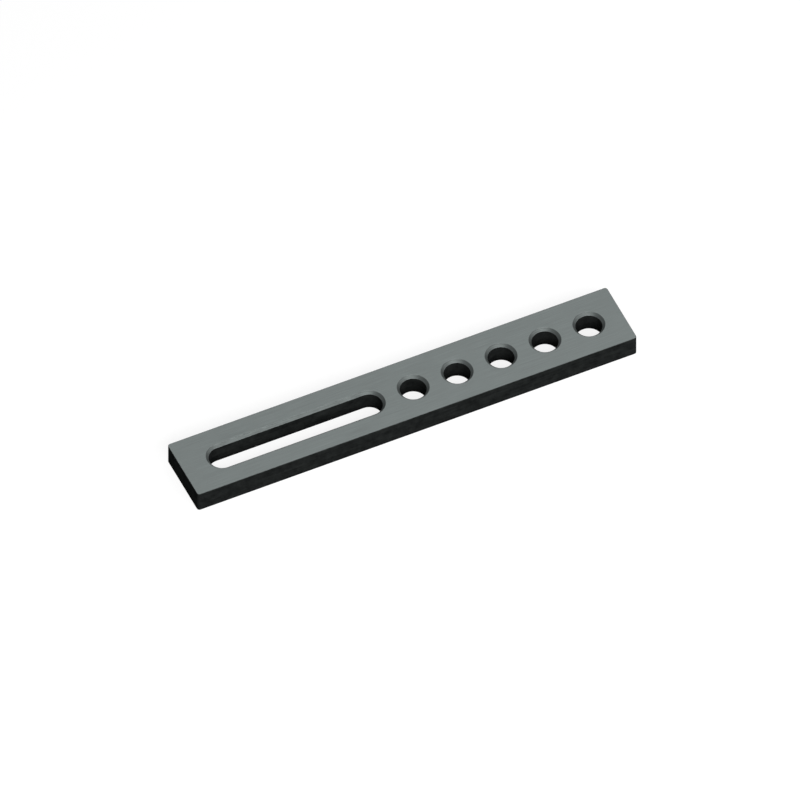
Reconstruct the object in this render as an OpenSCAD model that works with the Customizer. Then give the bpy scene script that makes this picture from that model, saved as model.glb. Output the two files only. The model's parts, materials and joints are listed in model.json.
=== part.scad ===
// Positioning bar for a welding table: a flat steel bar with a row of chamfered
// system bores at one end and one long clamping slot at the other.
// Length along X, width along Y, thickness up Z; the origin is the middle of the
// underside, and the bores are at the +X end.

/* [Bar] */
// Length of the bar
bar_length = 500; // [440:5:800]
// Width of the bar
bar_width = 75; // [50:1:120]
// Thickness of the bar
bar_thickness = 25; // [12:0.5:40]
// Radius of the four upright corners
corner_radius = 3; // [1:0.5:12]
// Chamfer that breaks the long edges, the end edges and the corners
edge_break = 0.4; // [0.2:0.1:0.9]

/* [Bores] */
// Number of system bores in the row
bore_count = 5; // [1:1:7]
// Diameter of a system bore
bore_diameter = 28; // [12:0.5:32]
// Distance between neighbouring bores
bore_pitch = 50; // [40:1:60]
// Distance from the bored end of the bar to the middle of the nearest bore
bore_end_distance = 37.5; // [25:0.5:50]
// Chamfer at the upper mouth of each bore
bore_upper_chamfer = 3; // [0.5:0.1:4]
// Chamfer at the lower mouth of each bore
bore_lower_chamfer = 1.5; // [0.5:0.1:4]

/* [Slot] */
// Width of the slot, which is also the diameter of its round ends
slot_width = 28; // [12:0.5:32]
// Distance from the slotted end of the bar to the middle of the slot's first round end
slot_end_distance = 45; // [25:0.5:60]
// Distance from the middle of the slot's last round end to the middle of the first bore
slot_bore_distance = 50; // [40:1:60]
// Chamfer along the upper edge of the slot
slot_upper_chamfer = 3; // [0.5:0.1:4]
// Chamfer along the lower edge of the slot
slot_lower_chamfer = 1.5; // [0.5:0.1:4]

/* [Colour] */
// Colour of the bar
bar_colour = "#788080"; // [#788080:Grey, #4a4d4f:Dark grey, #1e2020:Black]

/* [Hidden] */
$fn = 96;

// How far a cut runs past the faces that it opens
overrun = 1;

// Middle of the bore nearest the end, and of the bore nearest the slot
last_bore_x = bar_length / 2 - bore_end_distance;
first_bore_x = last_bore_x - (bore_count - 1) * bore_pitch;

// Middles of the slot's two round ends
slot_start_x = slot_end_distance - bar_length / 2;
slot_finish_x = first_bore_x - slot_bore_distance;

// Section of the bar from its middle plane outwards, with both edges broken:
// across it at a given half width, and up Z over the full thickness
function half_section(half_width) = [
    [0, 0],
    [half_width - edge_break, 0],
    [half_width, edge_break],
    [half_width, bar_thickness - edge_break],
    [half_width - edge_break, bar_thickness],
    [0, bar_thickness]
];

// Section of a through cut from its middle outwards: straight wall between two
// 45 degree chamfers, which carry on past both faces of the bar
function half_cut(radius, upper_chamfer, lower_chamfer) = [
    [0, -overrun],
    [radius + lower_chamfer + overrun, -overrun],
    [radius, lower_chamfer],
    [radius, bar_thickness - upper_chamfer],
    [radius + upper_chamfer + overrun, bar_thickness + overrun],
    [0, bar_thickness + overrun]
];

// The same section on both sides of the middle, as one outline
module both_sides(half_outline) {
    polygon(half_outline);
    mirror([1, 0]) polygon(half_outline);
}

// Carries a section, drawn across Y and up Z, along X from start to finish
module along_x(start, finish) {
    translate([start, 0, 0])
        rotate([90, 0, 90])
            linear_extrude(finish - start)
                children();
}

// Solid bar: two crossing prisms leave the corners open, and a turned post
// with the same broken edges rounds each of them
module blank() {
    straight_x = bar_length / 2 - corner_radius;
    straight_y = bar_width / 2 - corner_radius;
    along_x(-straight_x, straight_x)
        both_sides(half_section(bar_width / 2));
    rotate([0, 0, 90])
        along_x(-straight_y, straight_y)
            both_sides(half_section(bar_length / 2));
    for (x = [-straight_x, straight_x], y = [-straight_y, straight_y])
        translate([x, y, 0])
            rotate_extrude()
                polygon(half_section(corner_radius));
}

// One round bore with both of its mouths
module bore_cut() {
    rotate_extrude()
        polygon(half_cut(bore_diameter / 2, bore_upper_chamfer, bore_lower_chamfer));
}

// The row of bores
module bore_row() {
    for (i = [0 : bore_count - 1])
        translate([first_bore_x + i * bore_pitch, 0, 0])
            bore_cut();
}

// The long slot: a turned cut at each end, and the same section carried between
module slot_cut() {
    section = half_cut(slot_width / 2, slot_upper_chamfer, slot_lower_chamfer);
    for (x = [slot_start_x, slot_finish_x])
        translate([x, 0, 0])
            rotate_extrude()
                polygon(section);
    along_x(slot_start_x, slot_finish_x)
        both_sides(section);
}

module positioning_bar() {
    color(bar_colour)
        difference() {
            blank();
            bore_row();
            slot_cut();
        }
}

positioning_bar();
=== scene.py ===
"""Looks of a positioning bar for a welding table, for Blender 4.5.

The bar is one piece of steel, so the scene dresses one piece. Its surfaces are worked out
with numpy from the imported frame. Each opening and the outside of the bar is a section
carried round a core: the bar's rounded outline is the line a fixed distance away from a
smaller rectangle, a bore's mouth from a point, and the slot's mouth from a line. The two
flat faces fill what lies between them, one field to each opening.

Lengths are in metres, in the frame of the CAD model: X along the bar, Y across it and Z
up through its thickness, with the origin in the middle of the underside.
"""

import json
import logging
import math
from abc import ABC, abstractmethod
from dataclasses import dataclass
from enum import Enum
from typing import ClassVar

import bpy
import numpy as np
from mathutils import Matrix, Vector

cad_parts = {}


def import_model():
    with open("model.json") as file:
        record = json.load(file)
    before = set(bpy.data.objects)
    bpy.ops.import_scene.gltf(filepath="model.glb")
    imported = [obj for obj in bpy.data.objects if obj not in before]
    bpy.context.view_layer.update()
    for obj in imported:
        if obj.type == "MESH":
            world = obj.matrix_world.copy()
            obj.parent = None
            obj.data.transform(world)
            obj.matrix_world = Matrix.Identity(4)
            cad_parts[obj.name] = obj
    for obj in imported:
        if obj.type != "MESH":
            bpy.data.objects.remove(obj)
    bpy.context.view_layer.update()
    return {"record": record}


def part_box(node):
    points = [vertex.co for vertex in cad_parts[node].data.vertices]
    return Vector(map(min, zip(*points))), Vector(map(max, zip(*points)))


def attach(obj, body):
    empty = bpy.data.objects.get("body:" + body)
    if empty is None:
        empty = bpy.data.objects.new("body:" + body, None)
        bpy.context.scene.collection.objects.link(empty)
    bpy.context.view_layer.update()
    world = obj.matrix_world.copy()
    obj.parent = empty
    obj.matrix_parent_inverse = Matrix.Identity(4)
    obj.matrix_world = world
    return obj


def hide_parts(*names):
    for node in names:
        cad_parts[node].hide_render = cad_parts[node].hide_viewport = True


Array = np.ndarray
Colour = tuple[float, float, float]
Range = tuple[float, float]
Socket = bpy.types.NodeSocket
Value = Socket | float | tuple[float, ...]

MM = 0.001

# Names of the bar's UV map and point attribute, which its finishes read
TRAVEL_MAP = "tool_travel"
EDGE_DISTANCE = "edge_distance"

# Distance within which two stations of a border are the same, and its number of decimals
SAME_PLACE = 1e-9
STATION_DIGITS = 9

# Number of decimals to which the points of two surfaces agree where the surfaces meet
JOINT_DIGITS = 7

# Length of a section's first and last leg, which only give a direction
LEAD = 2.0 * MM

# Kinds of a node group's sockets
NUMBER = "NodeSocketFloat"
VECTOR = "NodeSocketVector"

# Range of a pattern's values
PATTERN_RANGE = (0.0, 1.0)

WHITE = (1.0, 1.0, 1.0, 1.0)

log = logging.getLogger("positioning_bar")


class Surface(Enum):
    """Kind of face of the bar, from light to dark: the ground flat faces, the chamfers, then the
    outer sides and the walls of the openings. The chamfers, sides and walls have darker copies of
    the flat faces' steel, as painted shade. The value is its material slot.
    """

    GROUND = 0
    TURNED = 1
    BLACKENED = 2


@dataclass(frozen=True)
class Section:
    """Line that is carried round a core, from the upper face down to the underside.

    Attributes:
        points: Distance from the core and height of each point.
        normals: Outward normal at each point, in the same two directions.
        surfaces: Material slot of the strip after each point but the last.
        edge_distance: Distance of each point from the nearest edge of the bar.
    """

    points: Array
    normals: Array
    surfaces: Array
    edge_distance: Array

    @property
    def lengths(self) -> Array:
        """Length along the line from its first point to each point."""
        return np.append(0.0, np.cumsum(np.linalg.norm(np.diff(self.points, axis=0), axis=1)))

    @classmethod
    def rounded(
        cls, corners: Array, legs: list[Surface], radius: float, side: int, steps: int = 4
    ) -> "Section":
        """Rounds each inner corner of an open line with an arc.

        An arc's point is centre + radius * (cos a, sin a), where a turns evenly from the
        outward normal of the leg before the corner to that of the leg after it. An arc has
        the darker one of its two legs' surfaces.

        Args:
            corners: Points of the line. The first and the last only give a direction.
            legs: Surface of each leg between two corners.
            radius: Radius of the arcs.
            side: 1 if outwards is on the left of the line, -1 if it is on the right.
            steps: Number of pieces in each arc.

        Returns:
            The section, which starts and ends where its outer arcs do.
        """
        heading = np.diff(corners, axis=0)
        heading /= np.linalg.norm(heading, axis=1, keepdims=True)
        normal_angle = np.unwrap(np.arctan2(heading[:, 1], heading[:, 0])) + side * np.pi / 2
        turn = np.diff(normal_angle)
        tangent = radius * np.tan(np.abs(turn) / 2)
        arc_start = corners[1:-1] - tangent[:, None] * heading[:-1]
        first_normal = np.stack([np.cos(normal_angle[:-1]), np.sin(normal_angle[:-1])], axis=1)
        centre = arc_start - radius * first_normal
        share = np.linspace(0.0, 1.0, steps + 1)
        angle = normal_angle[:-1, None] + turn[:, None] * share
        normals = np.stack([np.cos(angle), np.sin(angle)], axis=-1)
        points = centre[:, None] + radius * normals
        leg_slots = np.array([leg.value for leg in legs])
        arc_slots = np.maximum(leg_slots[:-1], leg_slots[1:])
        slots = np.column_stack([np.repeat(arc_slots[:, None], steps, axis=1), leg_slots[1:]])
        from_middle = radius * np.abs(turn[:, None] * (share - 0.5))
        return cls(
            points=points.reshape(-1, 2),
            normals=normals.reshape(-1, 2),
            surfaces=slots.ravel()[:-1],
            edge_distance=from_middle.ravel(),
        )

    def divided(self, longest: float) -> "Section":
        """Splits each strip evenly until none is longer than a given length.

        Args:
            longest: Greatest length of a strip.

        Returns:
            The same line with more points.
        """
        at = self.lengths
        strip_length = np.diff(at)
        parts = np.ceil(strip_length / longest).astype(int)
        strip = np.repeat(np.arange(len(parts)), parts)
        step = np.arange(len(strip)) - np.repeat(np.cumsum(parts) - parts, parts)
        passed = strip_length[strip] * step / parts[strip]
        new_at = np.append(at[strip] + passed, at[-1])

        def between(values: Array) -> Array:
            """Reads values at the new points, in a straight line between the old ones."""
            return np.stack([np.interp(new_at, at, column) for column in values.T], axis=1)

        from_start = self.edge_distance[strip] + passed
        from_finish = self.edge_distance[strip + 1] + strip_length[strip] - passed
        return Section(
            points=between(self.points),
            normals=between(self.normals),
            surfaces=self.surfaces[strip],
            edge_distance=np.append(np.minimum(from_start, from_finish), self.edge_distance[-1]),
        )


@dataclass(frozen=True)
class Grid:
    """Surface of two parameters, as a grid of points: first along the core, then across it.

    Attributes:
        points: Place of each point.
        normals: Outward normal at each point.
        travel: How far the tool had gone at each point, along its path and across it.
        edge_distance: Distance of each point from the nearest edge of the bar.
        surfaces: Material slot of each strip across the core.
    """

    points: Array
    normals: Array
    travel: Array
    edge_distance: Array
    surfaces: Array

    def quads(self) -> Array:
        """Numbers the corners of the grid's quads, turned to agree with its normals.

        Returns:
            Four point numbers for each quad, one row to a quad.
        """
        rows, columns = self.points.shape[:2]
        number = np.arange(rows * columns).reshape(rows, columns)
        corners = [number[:-1, :-1], number[1:, :-1], number[1:, 1:], number[:-1, 1:]]
        quads = np.stack(corners, axis=-1).reshape(-1, 4)
        first, second, third, fourth = self.points.reshape(-1, 3)[quads.T]
        facing = np.cross(third - first, fourth - second)
        agreement = (facing * self.normals.reshape(-1, 3)[quads[:, 0]]).sum()
        return quads if agreement > 0 else quads[:, ::-1]


@dataclass(frozen=True)
class Core:
    """Closed path round a core: where it is, and which way leads outwards from it.

    Attributes:
        places: Point of the core at each station, X and Y. The first station is repeated last.
        outwards: Direction that leads away from the core at each station.
    """

    places: Array
    outwards: Array

    @classmethod
    def seen_from(cls, points: Array, half_size: Array, middle: Array) -> "Core":
        """Finds the core of points round a rectangle, line or point.

        The core of a point is the nearest point of the rectangle, and outwards is the
        direction from there to the point.

        Args:
            points: Points round the rectangle.
            half_size: Half of the rectangle's size in X and Y, 0 where it has none.
            middle: Middle of the rectangle.

        Returns:
            The core with one station for each point.
        """
        places = np.clip(points, middle - half_size, middle + half_size)
        away = points - places
        return cls(places, away / np.linalg.norm(away, axis=1, keepdims=True))

    def carry(self, section: Section, reach: float) -> Grid:
        """Carries a section round the core.

        A point is the core's place + the section's distance * outwards, at the section's
        height.

        Args:
            section: Section to carry.
            reach: Distance from the core at which the tool's travel is measured.

        Returns:
            The surface.
        """
        plane = self.places[:, None] + section.points[:, 0, None] * self.outwards[:, None]
        height = np.broadcast_to(section.points[:, 1, None], (*plane.shape[:2], 1))
        flat = section.normals[:, 0, None] * self.outwards[:, None]
        lift = np.broadcast_to(section.normals[:, 1, None], height.shape)
        path = self.places + reach * self.outwards
        along = np.append(0.0, np.cumsum(np.linalg.norm(np.diff(path, axis=0), axis=1)))
        return Grid(
            points=np.concatenate([plane, height], axis=2),
            normals=np.concatenate([flat, lift], axis=2),
            travel=np.stack(np.meshgrid(along, section.lengths, indexing="ij"), axis=-1),
            edge_distance=np.broadcast_to(section.edge_distance, plane.shape[:2]),
            surfaces=section.surfaces,
        )


@dataclass(frozen=True)
class Opening:
    """Through opening of the bar: a bore if its core is a point, or else a slot along X.

    Attributes:
        start: X of the core's end on the left.
        finish: X of the core's end on the right.
        radius: Half of the opening's width between its straight walls.
        lower: Size of the 45 degree chamfer at the underside.
        upper: Size of the 45 degree chamfer at the upper face.
    """

    start: float
    finish: float
    radius: float
    lower: float
    upper: float

    def section(self, thickness: float, edge_radius: float) -> Section:
        """Draws the opening's section, from the upper face to the underside.

        Args:
            thickness: Thickness of the bar.
            edge_radius: Radius that softens each edge of the opening.

        Returns:
            Two chamfers with the straight wall between them.
        """
        upper_rim, lower_rim = self.radius + self.upper, self.radius + self.lower
        corners = np.array([
            [upper_rim + LEAD, thickness],
            [upper_rim, thickness],
            [self.radius, thickness - self.upper],
            [self.radius, self.lower],
            [lower_rim, 0.0],
            [lower_rim + LEAD, 0.0],
        ])
        # The chamfers and the wall take darker finishes, whose darkness is painted shade.
        face, chamfer, wall = Surface.GROUND, Surface.TURNED, Surface.BLACKENED
        legs = [face, chamfer, wall, chamfer, face]
        return Section.rounded(corners, legs, edge_radius, side=-1)


@dataclass(frozen=True)
class FaceField:
    """Part of the bar's flat faces that surrounds one opening.

    Attributes:
        opening: The opening in the middle of the field.
        left: X of the field's left border.
        right: X of the field's right border.
        half_width: Y of the field's upper border.
        left_corner: Radius of its two left corners, 0 where it meets another field.
        right_corner: Radius of its two right corners, 0 where it meets another field.
        side_steps: Number of pieces from straight beside the core's end to the corner.
        top_steps: Number of pieces from the corner to straight above the core's end.
        corner_steps: Number of pieces in a rounded corner.
        straight_step: Greatest distance between stations along a slot.
        rim_lines: Distances of the lines of points next to the mouth and to the border.
        middle_steps: Number of strips between those lines.
    """

    opening: Opening
    left: float
    right: float
    half_width: float
    left_corner: float
    right_corner: float
    side_steps: int = 14
    top_steps: int = 9
    corner_steps: int = 8
    straight_step: float = 4.0 * MM
    rim_lines: tuple[float, ...] = (0.0, 0.3 * MM, 0.8 * MM, 1.6 * MM)
    middle_steps: int = 5

    def quarter(self, reach: float, corner: float) -> Array:
        """Sets stations on a quarter of the border, at even angles seen from the core.

        A station is at distance * tan a along its side, where a turns evenly.

        Args:
            reach: Distance from the core's end to the border on its side.
            corner: Radius of the corner.

        Returns:
            Stations from straight beside the core's end to straight above it, seen from it.
        """
        def spread(distance: float, furthest: float, steps: int) -> Array:
            """Places along a straight side that lie at even angles seen from the core."""
            return distance * np.tan(np.linspace(0, math.atan2(furthest, distance), steps + 1))

        side = spread(reach, self.half_width - corner, self.side_steps)[:-1]
        top = spread(self.half_width, reach - corner, self.top_steps)[-2::-1]
        angle = np.linspace(0, np.pi / 2, self.corner_steps + 1 if corner else 1)
        bend = np.array([reach, self.half_width]) - corner
        return np.concatenate([
            np.stack([np.full_like(side, reach), side], axis=1),
            bend + corner * np.stack([np.cos(angle), np.sin(angle)], axis=1),
            np.stack([top, np.full_like(top, self.half_width)], axis=1),
        ])

    def border(self) -> Array:
        """Sets stations round the whole border, anticlockwise.

        Returns:
            X and Y of each station, with the first one repeated last.
        """
        hole = self.opening
        right = self.quarter(self.right - hole.finish, self.right_corner) + [hole.finish, 0]
        left = self.quarter(hole.start - self.left, self.left_corner) * [-1, 1] + [hole.start, 0]
        pieces = math.ceil((hole.finish - hole.start) / self.straight_step)
        straight = np.linspace(hole.finish, hole.start, pieces + 1)
        top = np.stack([straight, np.full_like(straight, self.half_width)], axis=1)
        upper_half = np.concatenate([right[:-1], top, left[-2::-1]])
        return np.concatenate([upper_half, upper_half[-2::-1] * [1, -1]])

    def core(self) -> Core:
        """Finds the opening's core, seen from the border.

        Returns:
            The core with one station for each station of the border.
        """
        hole = self.opening
        half_size = np.array([(hole.finish - hole.start) / 2, 0.0])
        middle = np.array([(hole.finish + hole.start) / 2, 0.0])
        return Core.seen_from(self.border(), half_size, middle)

    def flat(self, mouth: float, height: float, up: int, half_length: float) -> Grid:
        """Stretches a flat sheet from the opening's mouth to the border.

        A point is the core's place + reach * outwards, where reach goes from the mouth to
        the border: first in small fixed steps, then evenly, then in small steps again.

        Args:
            mouth: Distance of the mouth from the core.
            height: Height of the sheet.
            up: 1 if the sheet faces up, -1 if it faces down.
            half_length: X at which the bar's flat faces end.

        Returns:
            The sheet.
        """
        core = self.core()
        border = np.linalg.norm(self.border() - core.places, axis=1)
        near = np.array(self.rim_lines)
        middle = np.linspace(0.0, 1.0, self.middle_steps + 1)[1:-1]
        share = np.concatenate([np.zeros_like(near), middle, np.ones_like(near)])
        fixed = np.concatenate([near, near[-1] * (1 - 2 * middle), -near[::-1]])
        reach = mouth + fixed + share * (border[:, None] - mouth)
        plane = core.places[:, None] + reach[..., None] * core.outwards[:, None]
        points = np.concatenate([plane, np.full((*reach.shape, 1), height)], axis=2)
        to_outside = np.array([half_length, self.half_width]) - np.abs(plane)
        return Grid(
            points=points,
            normals=np.broadcast_to([0.0, 0.0, float(up)], points.shape),
            travel=plane,
            edge_distance=np.minimum(reach - mouth, to_outside.min(axis=2)),
            surfaces=np.full(len(share) - 1, Surface.GROUND.value),
        )


@dataclass(frozen=True)
class Shell:
    """Closed surface that is made of grids.

    Attributes:
        points: Place of each point.
        edge_distance: Distance of each point from the nearest edge of the bar.
        quads: Four point numbers for each quad.
        surfaces: Material slot of each quad.
        normals: Outward normal at each corner of each quad.
        travel: How far the tool had gone at each corner of each quad.
    """

    points: Array
    edge_distance: Array
    quads: Array
    surfaces: Array
    normals: Array
    travel: Array

    @classmethod
    def joined(cls, grids: list[Grid]) -> "Shell":
        """Joins grids that meet point to point, and makes one of the points that coincide.

        Args:
            grids: The grids.

        Returns:
            The shell.
        """
        points = np.concatenate([grid.points.reshape(-1, 3) for grid in grids])
        normals = np.concatenate([grid.normals.reshape(-1, 3) for grid in grids])
        travel = np.concatenate([grid.travel.reshape(-1, 2) for grid in grids])
        distance = np.concatenate([grid.edge_distance.ravel() for grid in grids])
        starts = np.cumsum([0] + [grid.edge_distance.size for grid in grids[:-1]])
        quads = np.concatenate([grid.quads() + start for grid, start in zip(grids, starts)])
        surfaces = [np.tile(grid.surfaces, len(grid.points) - 1) for grid in grids]
        _, kept, merged = np.unique(
            np.round(points, JOINT_DIGITS), axis=0, return_index=True, return_inverse=True
        )
        return cls(
            points=points[kept],
            edge_distance=distance[kept],
            quads=merged.reshape(-1)[quads],
            surfaces=np.concatenate(surfaces),
            normals=normals[quads.ravel()],
            travel=travel[quads.ravel()],
        )

    def mesh(self, name: str) -> bpy.types.Mesh:
        """Puts the shell into a mesh, with the map and the attribute that the finishes read.

        Args:
            name: Name of the mesh.

        Returns:
            The mesh, still without materials.
        """
        made = bpy.data.meshes.new(name)
        made.from_pydata(self.points, [], self.quads, shade_flat=False)
        made.polygons.foreach_set("material_index", self.surfaces.astype(np.int32))
        travel_map = made.uv_layers.new(name=TRAVEL_MAP)
        travel_map.data.foreach_set("uv", self.travel.astype(np.float32).ravel())
        edge = made.attributes.new(EDGE_DISTANCE, "FLOAT", "POINT")
        edge.data.foreach_set("value", self.edge_distance.astype(np.float32))
        made.normals_split_custom_set(self.normals)
        return made


@dataclass(frozen=True)
class PositioningBar:
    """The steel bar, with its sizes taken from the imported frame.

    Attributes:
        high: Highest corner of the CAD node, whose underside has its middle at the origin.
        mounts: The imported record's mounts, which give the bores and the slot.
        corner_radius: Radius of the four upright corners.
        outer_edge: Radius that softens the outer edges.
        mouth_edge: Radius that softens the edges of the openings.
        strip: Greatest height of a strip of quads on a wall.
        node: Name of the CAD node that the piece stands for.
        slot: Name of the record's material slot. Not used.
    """

    high: Vector
    mounts: list[dict]
    corner_radius: float = 3.0 * MM
    outer_edge: float = 0.4 * MM
    mouth_edge: float = 0.25 * MM
    strip: float = 2.5 * MM
    node: str = "positioning_bar"
    slot: str = "burnished_steel"

    @property
    def thickness(self) -> float:
        """Height of the upper face."""
        return self.high.z

    @property
    def half_size(self) -> Array:
        """Half of the bar's length and width."""
        return np.array([self.high.x, self.high.y])

    @property
    def half_flat(self) -> Array:
        """Half of the length and width of the flat faces, which end where the edges bend."""
        return self.half_size - self.outer_edge

    def mounts_of(self, kind: str) -> list[dict]:
        """Picks the mounts of one kind."""
        return [mount for mount in self.mounts if mount["kind"] == kind]

    def openings(self) -> list[Opening]:
        """Reads the bores and the slot from the mounts.

        Returns:
            The openings from left to right. The slot has the chamfers of the bores.
        """
        bores = []
        for mount in self.mounts_of("bore"):
            x, _, z = mount["pos_m"]
            radius = mount["dims"]["r_mm"] * MM
            half_wall = mount["dims"]["length_mm"] * MM / 2
            lower, upper = z - half_wall, self.thickness - z - half_wall
            bores.append(Opening(x, x, radius, lower, upper))
        slots = []
        for mount in self.mounts_of("slide"):
            x = mount["pos_m"][0]
            radius = mount["dims"]["hole_r_mm"] * MM
            half_core = mount["dims"]["slot_length_mm"] * MM / 2 - radius
            lower, upper = bores[0].lower, bores[0].upper
            slots.append(Opening(x - half_core, x + half_core, radius, lower, upper))
        return sorted(slots + bores, key=lambda opening: opening.start)

    def fields(self) -> list[FaceField]:
        """Shares the flat faces out among the openings, halfway between neighbours.

        Returns:
            One field to each opening, from left to right.
        """
        openings = self.openings()
        flat_x, flat_y = self.half_flat
        corner = self.corner_radius - self.outer_edge
        seams = [(a.finish + b.start) / 2 for a, b in zip(openings, openings[1:])]
        lefts, rights = [-flat_x, *seams], [*seams, flat_x]
        square = [0.0] * len(seams)
        left_corners, right_corners = [corner, *square], [*square, corner]
        return [
            FaceField(opening, left, right, flat_y, left_corner, right_corner)
            for opening, left, right, left_corner, right_corner
            in zip(openings, lefts, rights, left_corners, right_corners)
        ]

    def rim(self, fields: list[FaceField]) -> Array:
        """Puts the fields' stations that lie on the outline of the flat faces in one ring.

        Where two fields meet, only the two ends of their seam lie on the outline.

        Args:
            fields: The fields of the flat faces.

        Returns:
            X and Y of each station, anticlockwise, with the first one repeated last.
        """
        flat_x, flat_y = self.half_flat
        stations = np.concatenate([part.border() for part in fields])
        seams = [part.right for part in fields[:-1]]
        on_seam = np.isclose(stations[:, :1], seams, atol=SAME_PLACE).any(axis=1)
        inside = on_seam & (np.abs(stations[:, 1]) < flat_y - SAME_PLACE)
        ring = np.unique(np.round(stations[~inside], STATION_DIGITS), axis=0)
        ring = ring[np.argsort(np.arctan2(ring[:, 1] / flat_y, ring[:, 0] / flat_x))]
        return np.concatenate([ring, ring[:1]])

    def outside(self, fields: list[FaceField]) -> Grid:
        """Carries the outer section round the bar, through the fields' outer stations.

        Args:
            fields: The fields of the flat faces.

        Returns:
            The two long sides, the two ends and the four rounded corners.
        """
        reach = self.corner_radius
        core = Core.seen_from(self.rim(fields), self.half_size - reach, np.zeros(2))
        corners = np.array([
            [reach - LEAD, self.thickness],
            [reach, self.thickness],
            [reach, 0.0],
            [reach - LEAD, 0.0],
        ])
        # The outer sides and their edges take the darkest finish, whose darkness is painted shade.
        legs = [Surface.BLACKENED] * 3
        section = Section.rounded(corners, legs, self.outer_edge, side=1)
        return core.carry(section.divided(self.strip), reach)

    def grids(self) -> list[Grid]:
        """Works out every surface of the bar.

        Returns:
            The outside, and for each opening its inside and its field on both flat faces.
        """
        fields = self.fields()
        grids = [self.outside(fields)]
        flat_x = self.half_flat[0]
        for part in fields:
            section = part.opening.section(self.thickness, self.mouth_edge)
            upper_mouth, lower_mouth = section.points[0, 0], section.points[-1, 0]
            grids += [
                part.core().carry(section.divided(self.strip), part.opening.radius),
                part.flat(upper_mouth, self.thickness, 1, flat_x),
                part.flat(lower_mouth, 0.0, -1, flat_x),
            ]
        return grids

    def build(self, finishes: dict[Surface, bpy.types.Material]) -> bpy.types.Object:
        """Makes the bar's mesh, dresses it and hangs it on the frame.

        Args:
            finishes: Material of each kind of surface.

        Returns:
            The finished piece.
        """
        mesh = Shell.joined(self.grids()).mesh(self.node)
        for surface in Surface:
            mesh.materials.append(finishes[surface])
        mesh.validate()
        piece = bpy.data.objects.new("bar_body", mesh)
        bpy.context.scene.collection.objects.link(piece)
        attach(piece, "root")
        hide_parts(self.node)
        return piece


def opaque(colour: Colour) -> tuple[float, ...]:
    """Gives a colour as a node's input takes it, with its alpha."""
    return (*colour, 1.0)


class NodePen:
    """Places nodes in a tree and joins them up.

    Attributes:
        tree: The tree that the pen works on.
        noise_range: Range that the values of a noise seldom leave.
        mix_inputs: Numbers of the share and the two colours among a mix node's inputs.
        mix_output: Number of the colour among its outputs.
    """

    noise_range: ClassVar[Range] = (0.3, 0.7)
    mix_inputs: ClassVar[tuple[int, int, int]] = (0, 6, 7)
    mix_output: ClassVar[int] = 2

    def __init__(self, tree: bpy.types.NodeTree) -> None:
        """Starts on an empty tree."""
        self.tree = tree
        tree.nodes.clear()

    def place(
        self, kind: str, inputs: dict[str | int, Value], **settings: object
    ) -> bpy.types.Node:
        """Places one node.

        Args:
            kind: Blender's name for the kind of node.
            inputs: What goes into each named input: a number, a colour or a socket.
            **settings: Properties of the node.

        Returns:
            The node.
        """
        node = self.tree.nodes.new(kind)
        for name, setting in settings.items():
            setattr(node, name, setting)
        for name, value in inputs.items():
            if isinstance(value, Socket):
                self.tree.links.new(value, node.inputs[name])
            else:
                node.inputs[name].default_value = value
        return node

    def computed(self, operation: str, *values: Value, clamp: bool = False) -> Socket:
        """Works out a number from one, two or three others.

        Args:
            operation: Blender's name for the operation.
            *values: The numbers.
            clamp: Whether the result is held between 0 and 1.

        Returns:
            The result.
        """
        numbered = dict(enumerate(values))
        node = self.place("ShaderNodeMath", numbered, operation=operation, use_clamp=clamp)
        return node.outputs[0]

    def summed(self, parts: list[tuple[Value, float]]) -> Socket:
        """Adds up the swing of several patterns about their middle.

        Args:
            parts: Each pattern, from 0 to 1, with the weight of its swing.

        Returns:
            The sum, which is at the middle where every pattern is.
        """
        middle = sum(PATTERN_RANGE) / 2
        total = middle - middle * sum(weight for _, weight in parts)
        for pattern, weight in parts:
            total = self.computed("MULTIPLY_ADD", pattern, weight, total)
        return total

    def scaled(self, vector: Value, factor: Value) -> Socket:
        """Multiplies two vectors, one part at a time."""
        node = self.place("ShaderNodeVectorMath", {0: vector, 1: factor}, operation="MULTIPLY")
        return node.outputs["Vector"]

    def stretched(self, value: Value, source: Range, target: Range) -> Socket:
        """Carries a range of numbers over to another range, and holds what lies outside.

        Args:
            value: The number.
            source: Range that the number is in.
            target: Range that it is carried over to.

        Returns:
            The new number.
        """
        inputs = {
            "Value": value,
            "From Min": source[0],
            "From Max": source[1],
            "To Min": target[0],
            "To Max": target[1],
        }
        return self.place("ShaderNodeMapRange", inputs).outputs["Result"]

    def noise(
        self, place: Value, detail: float, roughness: float, target: Range = PATTERN_RANGE
    ) -> Socket:
        """Reads a noise whose grains are about one unit of the given place across.

        Args:
            place: Place at which the noise is read.
            detail: Number of finer noises on top of the coarsest one.
            roughness: Strength of each of them, as a share of the one before.
            target: Range that the noise is stretched to.

        Returns:
            The noise.
        """
        inputs = {"Vector": place, "Scale": 1.0, "Detail": detail, "Roughness": roughness}
        grains = self.place("ShaderNodeTexNoise", inputs).outputs["Fac"]
        return self.stretched(grains, self.noise_range, target)

    def blended(self, share: Value, first: Value, second: Value) -> Socket:
        """Mixes two colours."""
        inputs = dict(zip(self.mix_inputs, (share, first, second)))
        return self.place("ShaderNodeMix", inputs, data_type="RGBA").outputs[self.mix_output]

    def mixed(self, share: Value, first: Socket, second: Socket) -> Socket:
        """Mixes two shaders."""
        return self.place("ShaderNodeMixShader", {0: share, 1: first, 2: second}).outputs[0]


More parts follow.
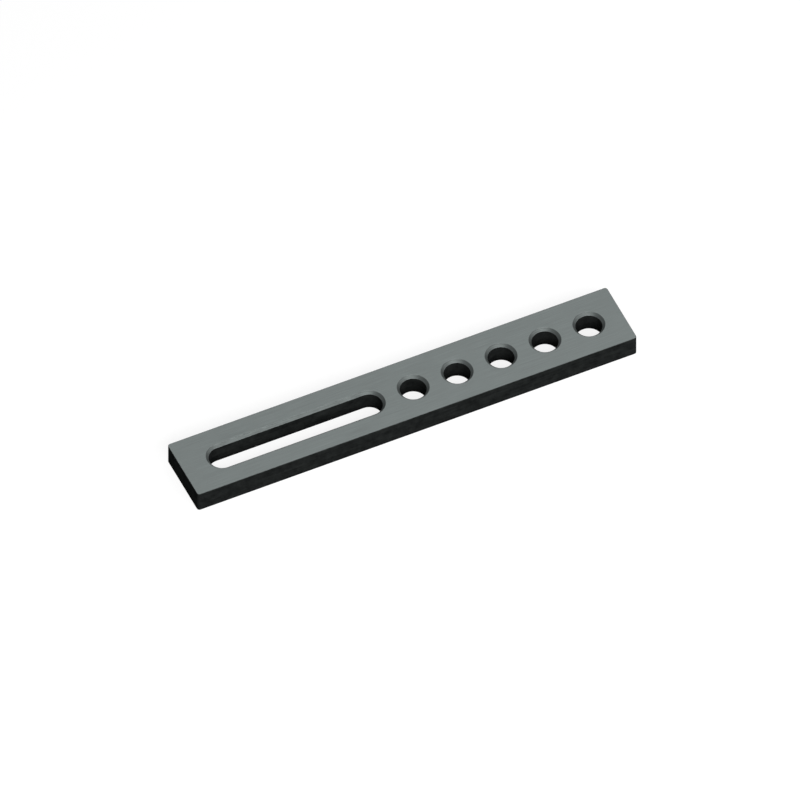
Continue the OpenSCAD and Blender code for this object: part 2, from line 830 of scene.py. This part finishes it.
class Effect(ABC):
    """A surface effect that several finishes use, kept as one node group.

    Attributes:
        name: Name of the group.
        inputs: Kind of each named input socket.
        output: Name of its one output, a number from 0 to 1.
    """

    name: ClassVar[str]
    inputs: ClassVar[dict[str, str]]
    output: ClassVar[str]

    def group(self) -> bpy.types.NodeTree:
        """Finds the group, or makes it the first time."""
        return bpy.data.node_groups.get(self.name) or self.make()

    def make(self) -> bpy.types.NodeTree:
        """Makes the group with its sockets and joins its nodes.

        Returns:
            The node group.
        """
        tree = bpy.data.node_groups.new(self.name, "ShaderNodeTree")
        for name, kind in self.inputs.items():
            tree.interface.new_socket(name, in_out="INPUT", socket_type=kind)
        tree.interface.new_socket(self.output, in_out="OUTPUT", socket_type=NUMBER)
        pen = NodePen(tree)
        given = pen.place("NodeGroupInput", {})
        pen.place("NodeGroupOutput", {self.output: self.draw(pen, given.outputs)})
        return tree

    @abstractmethod
    def draw(self, pen: NodePen, given: bpy.types.NodeOutputs) -> Socket:
        """Joins the nodes between the group's inputs and its output.

        Args:
            pen: Pen on the group's tree.
            given: The group's inputs, by their names.

        Returns:
            What the group puts out.
        """

    def use(self, pen: NodePen, **inputs: Value) -> Socket:
        """Places the group in a material.

        Args:
            pen: Pen on the material's tree.
            **inputs: What goes into each input.

        Returns:
            The effect's output.
        """
        return pen.place("ShaderNodeGroup", inputs, node_tree=self.group()).outputs[self.output]


@dataclass(frozen=True)
class ToolLines(Effect):
    """Fine lines that a tool leaves along its travel: noise drawn out along the path.

    Attributes:
        detail: Number of finer lines on top of the coarsest ones.
        roughness: Strength of each of them, as a share of the one before.
    """

    name: ClassVar[str] = "tool_lines"
    inputs: ClassVar[dict[str, str]] = {"Travel": VECTOR, "Length": NUMBER, "Spacing": NUMBER}
    output: ClassVar[str] = "Lines"
    detail: float = 3.0
    roughness: float = 0.6

    def draw(self, pen: NodePen, given: bpy.types.NodeOutputs) -> Socket:
        """Divides the travel by the lines' length and spacing, and reads a noise there.

        Args:
            pen: Pen on the group's tree.
            given: The group's inputs, by their names.

        Returns:
            The lines, from 0 to 1.
        """
        along = pen.computed("DIVIDE", 1.0, given["Length"])
        across = pen.computed("DIVIDE", 1.0, given["Spacing"])
        factor = pen.place("ShaderNodeCombineXYZ", {"X": along, "Y": across, "Z": 0.0})
        drawn_out = pen.scaled(given["Travel"], factor.outputs["Vector"])
        return pen.noise(drawn_out, self.detail, self.roughness)


@dataclass(frozen=True)
class Clouding(Effect):
    """Soft uneven patches of oil, heat and handling: noise in the bar's own space.

    Attributes:
        detail: Number of finer patches on top of the coarsest ones.
        roughness: Strength of each of them, as a share of the one before.
    """

    name: ClassVar[str] = "clouding"
    inputs: ClassVar[dict[str, str]] = {"Place": VECTOR, "Size": NUMBER}
    output: ClassVar[str] = "Clouds"
    detail: float = 4.0
    roughness: float = 0.55

    def draw(self, pen: NodePen, given: bpy.types.NodeOutputs) -> Socket:
        """Divides the place by the size of a patch and reads a noise there."""
        factor = pen.computed("DIVIDE", 1.0, given["Size"])
        return pen.noise(pen.scaled(given["Place"], factor), self.detail, self.roughness)


@dataclass(frozen=True)
class EdgeRub(Effect):
    """Rubbed band along the edges: 1 at an edge, 0 past a width that noise makes uneven.

    Attributes:
        patches: Number of uneven patches to a metre, in each direction.
        unevenness: Least and greatest width, as shares of the band's own width.
        detail: Number of finer patches on top of the coarsest ones.
        roughness: Strength of each of them, as a share of the one before.
    """

    name: ClassVar[str] = "edge_rub"
    inputs: ClassVar[dict[str, str]] = {"Place": VECTOR, "Distance": NUMBER, "Width": NUMBER}
    output: ClassVar[str] = "Rub"
    patches: float = 220.0
    unevenness: Range = (0.2, 1.4)
    detail: float = 5.0
    roughness: float = 0.6

    def draw(self, pen: NodePen, given: bpy.types.NodeOutputs) -> Socket:
        """Takes the distance from the edge over the uneven width away from 1.

        Args:
            pen: Pen on the group's tree.
            given: The group's inputs, by their names.

        Returns:
            How rubbed the surface is, from 0 to 1.
        """
        place = pen.scaled(given["Place"], (self.patches, self.patches, self.patches))
        share = pen.noise(place, self.detail, self.roughness, self.unevenness)
        width = pen.computed("MULTIPLY", given["Width"], share)
        worn_off = pen.computed("DIVIDE", given["Distance"], width)
        return pen.computed("SUBTRACT", 1.0, worn_off, clamp=True)


@dataclass(frozen=True)
class Lines:
    """How deep and how far apart the lines of one tool are.

    Attributes:
        length: Length of a line.
        spacing: Distance between the lines.
        contrast: Share of the way from the finish's dark to its light that they take.
    """

    length: float
    spacing: float
    contrast: float

    def drawn(self, pen: NodePen, travel: Value) -> Socket:
        """Draws the lines along a tool's travel, as a number from 0 to 1."""
        return ToolLines().use(pen, Travel=travel, Length=self.length, Spacing=self.spacing)


@dataclass(frozen=True)
class SteelFinish:
    """Finish of one kind of surface of the bar.

    Attributes:
        name: Name of the material.
        dark: Colour where the pattern is darkest.
        light: Colour where the pattern is lightest.
        rubbed: Colour of bare metal along the edges.
        rub_width: Width of the rubbed band.
        rub_strength: Greatest share of the bare colour in that band.
        metallic: Share of bare metal in the shine.
        specular: Strength of the shine of the film on the steel.
        smooth: Roughness where the pattern is lightest.
        rough: Roughness where the pattern is darkest.
        fine: The finest lines, which also stand in relief.
        bands: Broad bands of such lines.
        cloud_size: Size of the cloudy patches.
        cloud_contrast: Share of the way from dark to light that the patches take.
        relief: Height of the fine lines.
    """

    name: str
    dark: Colour
    light: Colour
    rubbed: Colour
    rub_width: float
    rub_strength: float
    metallic: float
    specular: float
    smooth: float
    rough: float
    fine: Lines
    bands: Lines
    cloud_size: float
    cloud_contrast: float
    relief: float

    def material(self) -> bpy.types.Material:
        """Makes the material.

        Returns:
            A material whose colour, roughness and bump follow the tool's lines.
        """
        made = bpy.data.materials.new(self.name)
        made.use_nodes = True
        pen = NodePen(made.node_tree)
        place = pen.place("ShaderNodeTexCoord", {}).outputs["Object"]
        travel = pen.place("ShaderNodeUVMap", {}, uv_map=TRAVEL_MAP).outputs["UV"]
        distance = pen.place("ShaderNodeAttribute", {}, attribute_name=EDGE_DISTANCE)
        fine = self.fine.drawn(pen, travel)
        bands = self.bands.drawn(pen, travel)
        clouds = Clouding().use(pen, Place=place, Size=self.cloud_size)
        tone = pen.summed([
            (fine, self.fine.contrast),
            (bands, self.bands.contrast),
            (clouds, self.cloud_contrast),
        ])
        steel = pen.blended(tone, opaque(self.dark), opaque(self.light))
        rub = EdgeRub().use(
            pen, Place=place, Distance=distance.outputs["Fac"], Width=self.rub_width
        )
        worn = pen.computed("MULTIPLY", rub, self.rub_strength)
        relief = pen.place("ShaderNodeBump", {"Height": fine, "Distance": self.relief})
        shader = pen.place("ShaderNodeBsdfPrincipled", {
            "Base Color": pen.blended(worn, steel, opaque(self.rubbed)),
            "Roughness": pen.stretched(tone, PATTERN_RANGE, (self.rough, self.smooth)),
            "Metallic": self.metallic,
            "Specular IOR Level": self.specular,
            "Normal": relief.outputs["Normal"],
        })
        pen.place("ShaderNodeOutputMaterial", {"Surface": shader.outputs["BSDF"]})
        return made


GROUND_STEEL = SteelFinish(
    name="ground_steel",
    dark=(0.125, 0.142, 0.139),
    light=(0.203, 0.231, 0.227),
    rubbed=(0.32, 0.35, 0.35),
    rub_width=0.5 * MM,
    rub_strength=0.1,
    metallic=0.4,
    specular=0.3,
    smooth=0.36,
    rough=0.56,
    fine=Lines(length=40 * MM, spacing=0.30 * MM, contrast=0.65),
    bands=Lines(length=160 * MM, spacing=3.0 * MM, contrast=0.10),
    cloud_size=30 * MM,
    cloud_contrast=0.10,
    relief=0.004 * MM,
)
# Steel of the chamfers: the flat faces' steel made darker as painted shade, with its own tool
# lines, clouding and rubbed edges.
SHADED_CHAMFERS_STEEL = SteelFinish(
    name="turned_steel",
    dark=(0.044, 0.049, 0.048),
    light=(0.076, 0.087, 0.085),
    rubbed=(0.25, 0.28, 0.28),
    rub_width=0.5 * MM,
    rub_strength=0.25,
    metallic=0.7,
    specular=0.3,
    smooth=0.42,
    rough=0.54,
    fine=Lines(length=40 * MM, spacing=0.28 * MM, contrast=0.7),
    bands=Lines(length=12 * MM, spacing=1.2 * MM, contrast=0.3),
    cloud_size=9 * MM,
    cloud_contrast=0.2,
    relief=0.005 * MM,
)
# Steel of the outer sides and the walls: a much darker copy of the flat faces' steel, as painted
# shade, with its own tool lines, clouding and rubbed edges.
SHADED_SIDES_STEEL = SteelFinish(
    name="blackened_steel",
    dark=(0.0056, 0.0062, 0.0062),
    light=(0.0185, 0.0204, 0.020),
    rubbed=(0.08, 0.087, 0.087),
    rub_width=0.7 * MM,
    rub_strength=0.6,
    metallic=0.0,
    specular=0.0,
    smooth=0.55,
    rough=0.75,
    fine=Lines(length=3.0 * MM, spacing=0.45 * MM, contrast=0.6),
    bands=Lines(length=45 * MM, spacing=2.6 * MM, contrast=0.45),
    cloud_size=9 * MM,
    cloud_contrast=0.6,
    relief=0.03 * MM,
)


@dataclass(frozen=True)
class Softbox:
    """Large soft lamp that looks at the middle of the bar.

    Attributes:
        name: Name of the lamp.
        direction: Direction from the bar to the lamp.
        distance: Distance from the bar to the lamp.
        width: Width of the lamp.
        height: Height of the lamp.
        watts: Power of the lamp.
    """

    name: str
    direction: tuple[float, float, float]
    distance: float
    width: float
    height: float
    watts: float

    def hang(self) -> bpy.types.Object:
        """Hangs the lamp so that it faces the bar.

        Returns:
            The lamp.
        """
        light = bpy.data.lights.new(self.name, "AREA")
        light.shape = "RECTANGLE"
        light.size = self.width
        light.size_y = self.height
        light.energy = self.watts
        lamp = bpy.data.objects.new(self.name, light)
        towards = Vector(self.direction).normalized()
        lamp.location = towards * self.distance
        lamp.rotation_euler = towards.to_track_quat("Z", "Y").to_euler()
        bpy.context.scene.collection.objects.link(lamp)
        return lamp


@dataclass(frozen=True)
class Studio:
    """White floor, white surroundings and soft lamps.

    Attributes:
        lamps: The softboxes.
        ambient: Strength of the surroundings as they light the bar.
        floor_half_size: Half of the floor's side.
        floor_drop: Gap between the bar and the floor, so that no two faces coincide.
        floor_glow: Share of the floor's white that no shadow darkens.
        floor_shade: Shade of the floor as the lamps light it.
        bounce_shade: Shade of the floor as it lights the bar.
    """

    lamps: tuple[Softbox, ...] = (
        Softbox("side", (0.80, -0.48, 0.38), distance=1.5, width=1.2, height=0.7, watts=7.5),
        Softbox("front", (-0.09, -0.79, 0.61), distance=1.5, width=2.0, height=0.7, watts=30.0),
        Softbox("back", (0.5, 0.85, 0.16), distance=3.0, width=2.6, height=0.9, watts=32.0),
    )
    ambient: float = 0.22
    floor_half_size: float = 4.0
    floor_drop: float = 0.1 * MM
    floor_glow: float = 0.87
    floor_shade: float = 0.2
    bounce_shade: float = 0.22

    def seen(self, pen: NodePen) -> Socket:
        """Tells apart the rays that see the studio and those that light the bar.

        Args:
            pen: Pen on the tree of a material or of the world.

        Returns:
            1 for a ray from the camera, off a gloss or through glass, and 0 for any other.
        """
        rays = pen.place("ShaderNodeLightPath", {}).outputs
        glossy = pen.computed("MAXIMUM", rays["Is Camera Ray"], rays["Is Glossy Ray"])
        return pen.computed("MAXIMUM", glossy, rays["Is Transmission Ray"])

    def surroundings(self) -> bpy.types.World:
        """Makes the world.

        Returns:
            A world that is white where it is seen, and dim where it lights the bar.
        """
        world = bpy.data.worlds.new("studio")
        world.use_nodes = True
        pen = NodePen(world.node_tree)
        strength = pen.computed("MAXIMUM", self.seen(pen), self.ambient)
        light = pen.place("ShaderNodeBackground", {"Color": WHITE, "Strength": strength})
        pen.place("ShaderNodeOutputWorld", {"Surface": light.outputs["Background"]})
        return world

    def matt(self, pen: NodePen, shade: float) -> Socket:
        """Makes a matt grey."""
        grey = opaque((shade, shade, shade))
        return pen.place("ShaderNodeBsdfDiffuse", {"Color": grey}).outputs["BSDF"]

    def floor_material(self) -> bpy.types.Material:
        """Makes the floor's material.

        Returns:
            White with a faint shadow where it is seen, dull grey where it lights the bar, and
            clear from below, so that the underside can be looked at.
        """
        made = bpy.data.materials.new("studio_floor")
        made.use_nodes = True
        pen = NodePen(made.node_tree)
        glow = pen.place("ShaderNodeEmission", {"Color": WHITE, "Strength": self.floor_glow})
        white = pen.place("ShaderNodeAddShader", {
            0: self.matt(pen, self.floor_shade),
            1: glow.outputs["Emission"],
        })
        dull = self.matt(pen, self.bounce_shade)
        above = pen.mixed(self.seen(pen), dull, white.outputs["Shader"])
        clear = pen.place("ShaderNodeBsdfTransparent", {}).outputs["BSDF"]
        below = pen.place("ShaderNodeNewGeometry", {}).outputs["Backfacing"]
        pen.place("ShaderNodeOutputMaterial", {"Surface": pen.mixed(below, above, clear)})
        return made

    def floor(self) -> bpy.types.Object:
        """Lays the floor just under the bar.

        Returns:
            The floor, which isn't part of the object.
        """
        corners = np.array([[-1, -1], [1, -1], [1, 1], [-1, 1]]) * self.floor_half_size
        mesh = bpy.data.meshes.new("studio_floor")
        mesh.from_pydata(np.insert(corners, 2, -self.floor_drop, axis=1), [], [(0, 1, 2, 3)])
        mesh.materials.append(self.floor_material())
        made = bpy.data.objects.new("studio_floor", mesh)
        bpy.context.scene.collection.objects.link(made)
        return made

    def build(self) -> None:
        """Sets the surroundings, the floor, the lamps and the plain colour transform."""
        scene = bpy.context.scene
        scene.world = self.surroundings()
        scene.view_settings.view_transform = "Standard"
        floor = self.floor()
        log.info("%s: %g m wide", floor.name, 2 * self.floor_half_size)
        for softbox in self.lamps:
            lamp = softbox.hang()
            log.info("lamp %s: %g W", lamp.name, softbox.watts)


@dataclass(frozen=True)
class ProductCamera:
    """Camera of the photograph, which has no perspective.

    Attributes:
        azimuth: Turn of the camera round the bar from straight in front, in degrees.
        elevation: Height of the camera above the horizon, in degrees.
        frame_size: Length that the frame's side spans.
        right_of_axis: How far the middle of the upper face lies right of the frame's middle.
        above_axis: How far the middle of the upper face lies above the frame's middle.
        distance: Distance from the bar to the camera.
    """

    azimuth: float = -25.1
    elevation: float = 50.0
    frame_size: float = 824.7 * MM
    right_of_axis: float = 2.286 * MM
    above_axis: float = 9.158 * MM
    distance: float = 2.0

    def build(self, target: Vector) -> bpy.types.Object:
        """Places the camera.

        Args:
            target: Middle of the bar's upper face.

        Returns:
            The camera.
        """
        turn, rise = math.radians(self.azimuth), math.radians(self.elevation)
        level = math.cos(rise)
        right = Vector((math.cos(turn), math.sin(turn), 0.0))
        back = Vector((math.sin(turn) * level, -math.cos(turn) * level, math.sin(rise)))
        up = back.cross(right)
        aim = target - right * self.right_of_axis - up * self.above_axis
        lens = bpy.data.cameras.new("product_camera")
        lens.type = "ORTHO"
        lens.ortho_scale = self.frame_size
        camera = bpy.data.objects.new("product_camera", lens)
        facing = Matrix((right, up, back)).transposed().to_4x4()
        camera.matrix_world = Matrix.Translation(aim + back * self.distance) @ facing
        bpy.context.scene.collection.objects.link(camera)
        bpy.context.scene.camera = camera
        return camera


def main() -> None:
    """Builds the camera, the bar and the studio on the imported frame."""
    logging.basicConfig(level=logging.INFO, format="%(name)s: %(message)s")
    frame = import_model()
    _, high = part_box("positioning_bar")
    bar = PositioningBar(high, frame["record"]["mounts"])
    camera = ProductCamera().build(Vector((0.0, 0.0, bar.thickness)))
    log.info("%s: frame of %g m", camera.name, camera.data.ortho_scale)
    # The chamfers and the sides get darker copies of the flat faces' steel, as painted shade.
    finishes = {
        Surface.GROUND: GROUND_STEEL.material(),
        Surface.TURNED: SHADED_CHAMFERS_STEEL.material(),
        Surface.BLACKENED: SHADED_SIDES_STEEL.material(),
    }
    piece = bar.build(finishes)
    log.info("%s: %d faces, %d openings", piece.name, len(piece.data.polygons), len(bar.openings()))
    Studio().build()


if __name__ == "__main__":
    main()
